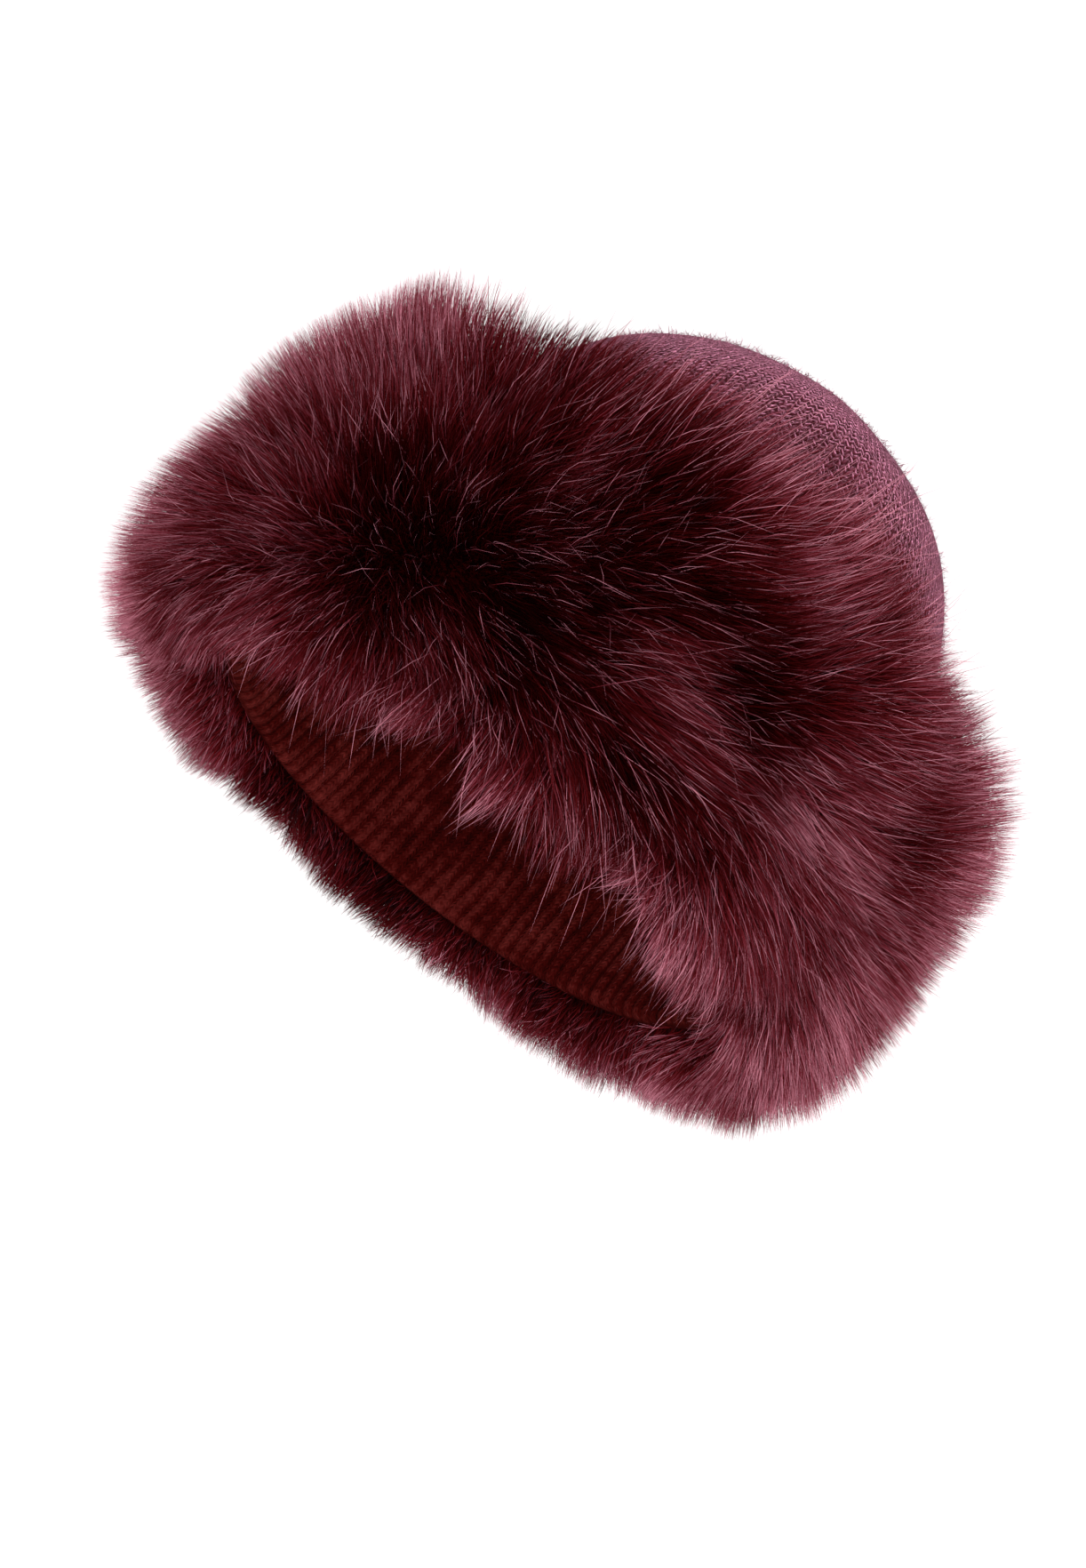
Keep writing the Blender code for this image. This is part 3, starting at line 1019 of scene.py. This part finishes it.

# %% [markdown]
# ## The fur's finish
#
# Each hair is dark at its root and light at its tip, and its own tint moves that change up or down.
# Nearly all the gloss is left out: the floor and the walls are white, and even a weak mirror of them
# would turn the deep red grey. The lightest colours of the ramp stand in for that gloss in part, as
# painted highlight.

# %% Finish of the fur, and the hairs themselves
fur = Finish("long_fur", roughness=0.50, Specular_IOR_Level=0.03, Specular_Tint=(1.0, 0.50, 0.60, 1.0))
along = fur.stored("along")
hair_tint = fur.stored("tint")
# Painted light: the outer part of each hair that lies level is lighter, a painted glow at the tips where
# they show in outline.
tip_glow_painted = (along - 0.55).held() * fur.stored("level")
shade = (along * 0.80 + (hair_tint - 0.5) * 0.60 + tip_glow_painted * 0.44 + 0.035).held()
fur.colour(
    fur.ramp(
        shade,
        [
            (0.00, (0.0045, 0.0002, 0.0002)),
            (0.30, (0.028, 0.0006, 0.0007)),
            (0.52, (0.084, 0.0040, 0.0052)),
            (0.70, (0.165, 0.0160, 0.0230)),
            (0.85, (0.30, 0.062, 0.092)),
            (1.00, (0.72, 0.28, 0.36)),
        ],
    )
)

# A kind with many hairs is made in several pieces round the hat, which start an eighth of a turn back
FIRST_SECTOR = 0.125
LONG_TAPER = (1.0, 0.95, 0.80, 0.55)
for kind, turns, hairs_of_kind, taper, places in (
    ("dense", dense_turn, dense, (1.0, 1.0, 0.84), ("right", "under", "left", "upper")),
    ("guard", guard_turn, guard, LONG_TAPER, ("lower", "upper")),
    ("edge", edge_turn, edge_hairs, (1.0, 0.92, 0.62), ("all",)),
    ("loose", loose_turn, loose, LONG_TAPER, ("all",)),
):
    sector = np.floor(((turns + FIRST_SECTOR) % 1.0) * len(places)).astype(int)
    for index, place in enumerate(places):
        mine = sector == index
        arguments = [values[mine] for values in hairs_of_kind]
        hairs = make_hairs(f"{kind}_fur_{place}", *arguments, taper=taper)
        hairs.data.materials.append(fur.material)
        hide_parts("fur_cuff")
        report(hairs)

# %% [markdown]
# ## The fuzz of the knit
#
# Brushed wool has a halo of loose fibres, a few millimetres long, which show against a light ground and
# soften every stitch. They are hairs like those of the fur, only short, thin and lying at all angles.

# %% Fuzz on the crown
FUZZ_COUNT = 26000
FUZZ_FROM, FUZZ_SPAN = 0.86, 1.12
FUZZ_ROOT_DEPTH = 0.0002
SHORTEST_FUZZ, LONGEST_FUZZ = 0.0018, 0.0050

fuzz_turn = draw.random(FUZZ_COUNT)
# The dome narrows, so the share of the fuzz falls towards its top
fuzz_climb = FUZZ_FROM + FUZZ_SPAN * (1.0 - np.sqrt(1.0 - 0.995 * draw.random(FUZZ_COUNT)))
fuzz_root = knit_surface(fuzz_turn, fuzz_climb, -FUZZ_ROOT_DEPTH)
fuzz_out = unit(knit_surface(fuzz_turn, fuzz_climb, 0.001) - fuzz_root)
wild = unit(draw.normal(0.0, 1.0, (FUZZ_COUNT, 3)))
fuzz_length = draw.uniform(SHORTEST_FUZZ, LONGEST_FUZZ, FUZZ_COUNT)
fuzz_heading = fuzz_root + unit(0.35 * fuzz_out + 0.8 * wild) * (0.5 * fuzz_length)[:, None]
fuzz_turned = unit(0.05 * fuzz_out + draw.normal(0.0, 0.8, (FUZZ_COUNT, 3)))
fuzz_tip = fuzz_heading + fuzz_turned * (0.6 * fuzz_length)[:, None]
fuzz = make_hairs(
    "crown_fuzz",
    fuzz_root,
    fuzz_heading,
    fuzz_tip,
    facing=wild,
    width=draw.uniform(0.00012, 0.00024, FUZZ_COUNT),
    tint=draw.random(FUZZ_COUNT),
    taper=(1.0, 0.7),
)
fuzz_finish = Finish("wool_fuzz", roughness=0.6, Specular_IOR_Level=0.1)
fuzz_tint = fuzz_finish.stored("tint")
fuzz_finish.colour(fuzz_finish.ramp(fuzz_tint, [(0.0, (0.20, 0.045, 0.075)), (1.0, (0.52, 0.21, 0.30))]))
fuzz.data.materials.append(fuzz_finish.material)
report(fuzz)

# %% [markdown]
# ## Floor and light
#
# The hat lies on a plain white surface under soft light from all round, with one broad light from the
# crown's side.

# %% Floor, world and lights
FLOOR_REACH = 4.0
FLOOR_GLOW = 0.90
ROOM_LIGHT = 0.32

floor_corners = [(x * FLOOR_REACH, y * FLOOR_REACH, 0.0) for x, y in ((-1, -1), (1, -1), (1, 1), (-1, 1))]
floor_mesh = bpy.data.meshes.new("floor")
floor_mesh.from_pydata(floor_corners, [], [(0, 1, 2, 3)])
floor = bpy.data.objects.new("floor", floor_mesh)
bpy.context.scene.collection.objects.link(floor)
white = Finish("white_floor", roughness=0.9, Emission_Strength=FLOOR_GLOW)
white.plug(white.shader.inputs["Emission Color"], (1.0, 1.0, 1.0, 1.0))
white.colour((0.35, 0.35, 0.35, 1.0))
floor_mesh.materials.append(white.material)

world = bpy.data.worlds.new("white_room")
bpy.context.scene.world = world
world.use_nodes = True
background = world.node_tree.nodes["Background"]
background.inputs["Color"].default_value = (1.0, 1.0, 1.0, 1.0)
background.inputs["Strength"].default_value = ROOM_LIGHT


def area_light(name, place, target, size, power):
    light = bpy.data.lights.new(name, "AREA")
    light.shape = "DISK"
    light.size = size
    light.energy = power
    lamp = bpy.data.objects.new(name, light)
    lamp.location = place
    lamp.rotation_euler = (Vector(target) - Vector(place)).to_track_quat("-Z", "Y").to_euler()
    bpy.context.scene.collection.objects.link(lamp)


area_light("front_light", (0.02, -0.43, 1.95), target=(0.0, 0.02, 0.12), size=0.30, power=31.0)
area_light("crown_light", (0.75, 1.00, 0.75), target=(0.0, 0.08, 0.12), size=0.7, power=5.0)
bpy.context.scene.view_settings.view_transform = "Standard"

# %% [markdown]
# ## The camera
#
# The hat is seen from almost straight above, a little from the side of its opening, with the picture
# turned so that the crown is at the upper right. A long lens keeps the far and near fur the same size.

# %% Camera
VIEW_HEIGHT = math.radians(78.0)
VIEW_ROLL = math.radians(38.3)
VIEW_DISTANCE = 2.20
FRAME_HEIGHT = 0.487
AIM_RIGHT, AIM_UP = 0.0204, 0.0113
SENSOR_HEIGHT = 36.0

opening_middle = Vector((0.0, -REST_CENTRE, REST_HEIGHT))
back = Vector((0.0, -math.cos(VIEW_HEIGHT), math.sin(VIEW_HEIGHT)))
level_up = Vector((0.0, math.sin(VIEW_HEIGHT), math.cos(VIEW_HEIGHT)))
level_right = Vector((1.0, 0.0, 0.0))
picture_up = level_up * math.cos(VIEW_ROLL) - level_right * math.sin(VIEW_ROLL)
picture_right = level_up * math.sin(VIEW_ROLL) + level_right * math.cos(VIEW_ROLL)
middle = opening_middle + picture_right * AIM_RIGHT + picture_up * AIM_UP
lens = bpy.data.cameras.new("camera")
lens.sensor_fit = "VERTICAL"
lens.sensor_height = SENSOR_HEIGHT
lens.lens = SENSOR_HEIGHT * VIEW_DISTANCE / FRAME_HEIGHT
camera = bpy.data.objects.new("camera", lens)
turned = Matrix((picture_right, picture_up, back)).transposed()
camera.matrix_world = Matrix.Translation(middle + back * VIEW_DISTANCE) @ turned.to_4x4()
bpy.context.scene.collection.objects.link(camera)
bpy.context.scene.camera = camera

# %% Update the scene
bpy.context.view_layer.update()
